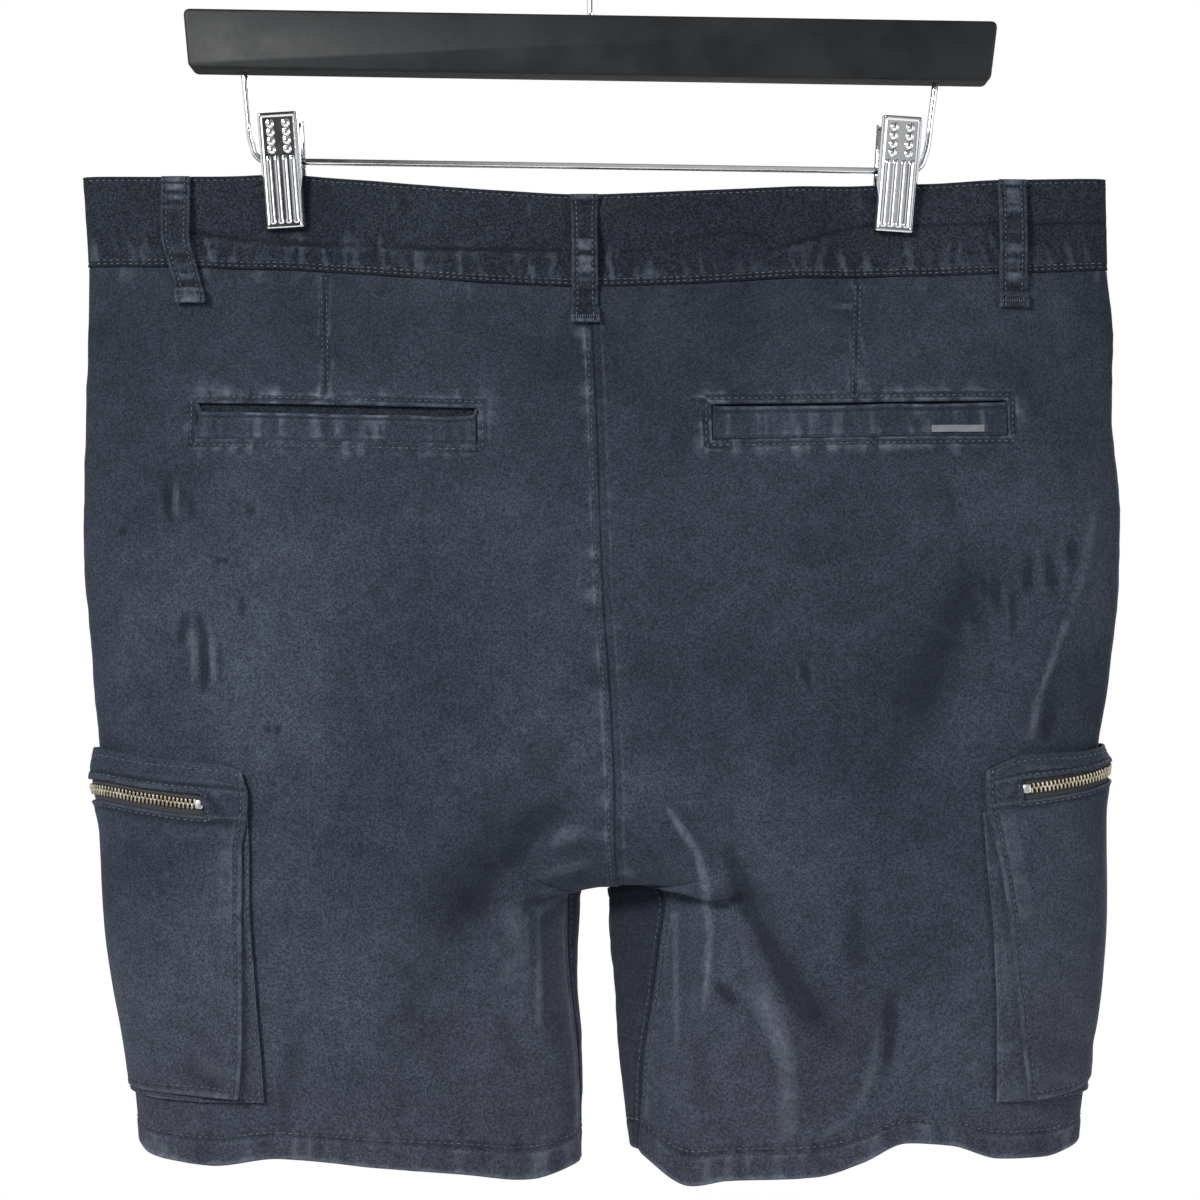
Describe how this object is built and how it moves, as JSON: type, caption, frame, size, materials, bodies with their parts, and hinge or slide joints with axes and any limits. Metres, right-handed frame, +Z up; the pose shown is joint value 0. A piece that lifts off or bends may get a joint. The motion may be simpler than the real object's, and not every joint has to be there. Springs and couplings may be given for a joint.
{
  "type": "cargo shorts on a clip hanger",
  "caption": "Dark navy cotton cargo shorts with zipped side pockets and back welt pockets, hung by the waistband from the clips of a black bar hanger.",
  "frame": {"origin": "inner top of the hanger's hook, where it rests on a rail", "axes": "+Z up, +Y out of the front of the shorts, -Y out of their back, +X to the wearer's right"},
  "size_m": [0.4764, 0.0765, 0.6192],
  "materials": {
    "twill": "washed cotton twill, matt, slightly faded",
    "band_twill": "washed cotton twill, matt, less faded",
    "tag_cloth": "woven tape, matt",
    "zip_tape": "woven tape, matt",
    "zip_metal": "aged, brushed",
    "button_resin": "satin",
    "chrome": "polished",
    "bar_wood": "black paint, semi-matt"
  },
  "bodies": {
    "shorts_on_hanger": {"back_left": "twill", "back_right": "twill", "front_left": "twill", "front_right": "twill", "back_welt_left": "twill", "back_welt_right": "twill", "back_facing_left": "band_twill", "back_facing_right": "band_twill", "back_tag": "tag_cloth", "waistband": "band_twill", "belt_loop_back_left": "band_twill", "belt_loop_back_centre": "band_twill", "belt_loop_back_right": "band_twill", "belt_loop_front_left": "band_twill", "belt_loop_front_right": "band_twill", "fly_lap": "twill", "waist_button": "button_resin", "cargo_face_left": "twill", "cargo_face_right": "twill", "cargo_gusset_left": "twill", "cargo_gusset_right": "twill", "cargo_zip_left": "zip_tape", "cargo_zip_right": "zip_tape", "cargo_slider_left": "zip_metal", "cargo_slider_right": "zip_metal", "clip_left_near": "chrome", "clip_left_far": "chrome", "clip_left_spring": "chrome", "clip_right_near": "chrome", "clip_right_far": "chrome", "clip_right_spring": "chrome", "hanger_bar": "bar_wood", "hanger_hook": "chrome", "hanger_wire": "chrome"},
    "pull_left": {"cargo_pull_left": "zip_metal"},
    "pull_right": {"cargo_pull_right": "zip_metal"}
  },
  "joints": [
    {"name": "pull_left_swing", "type": "hinge", "parent": "shorts_on_hanger", "child": "pull_left", "pos_m": [-0.19106, 0.03433, -0.43911], "axis": [0.9979, 0.0654, 0], "range_deg": [0, 150]},
    {"name": "pull_right_swing", "type": "hinge", "parent": "shorts_on_hanger", "child": "pull_right", "pos_m": [0.18672, 0.03697, -0.43886], "axis": [1, -0.0085, 0], "range_deg": [0, 150]}
  ]
}
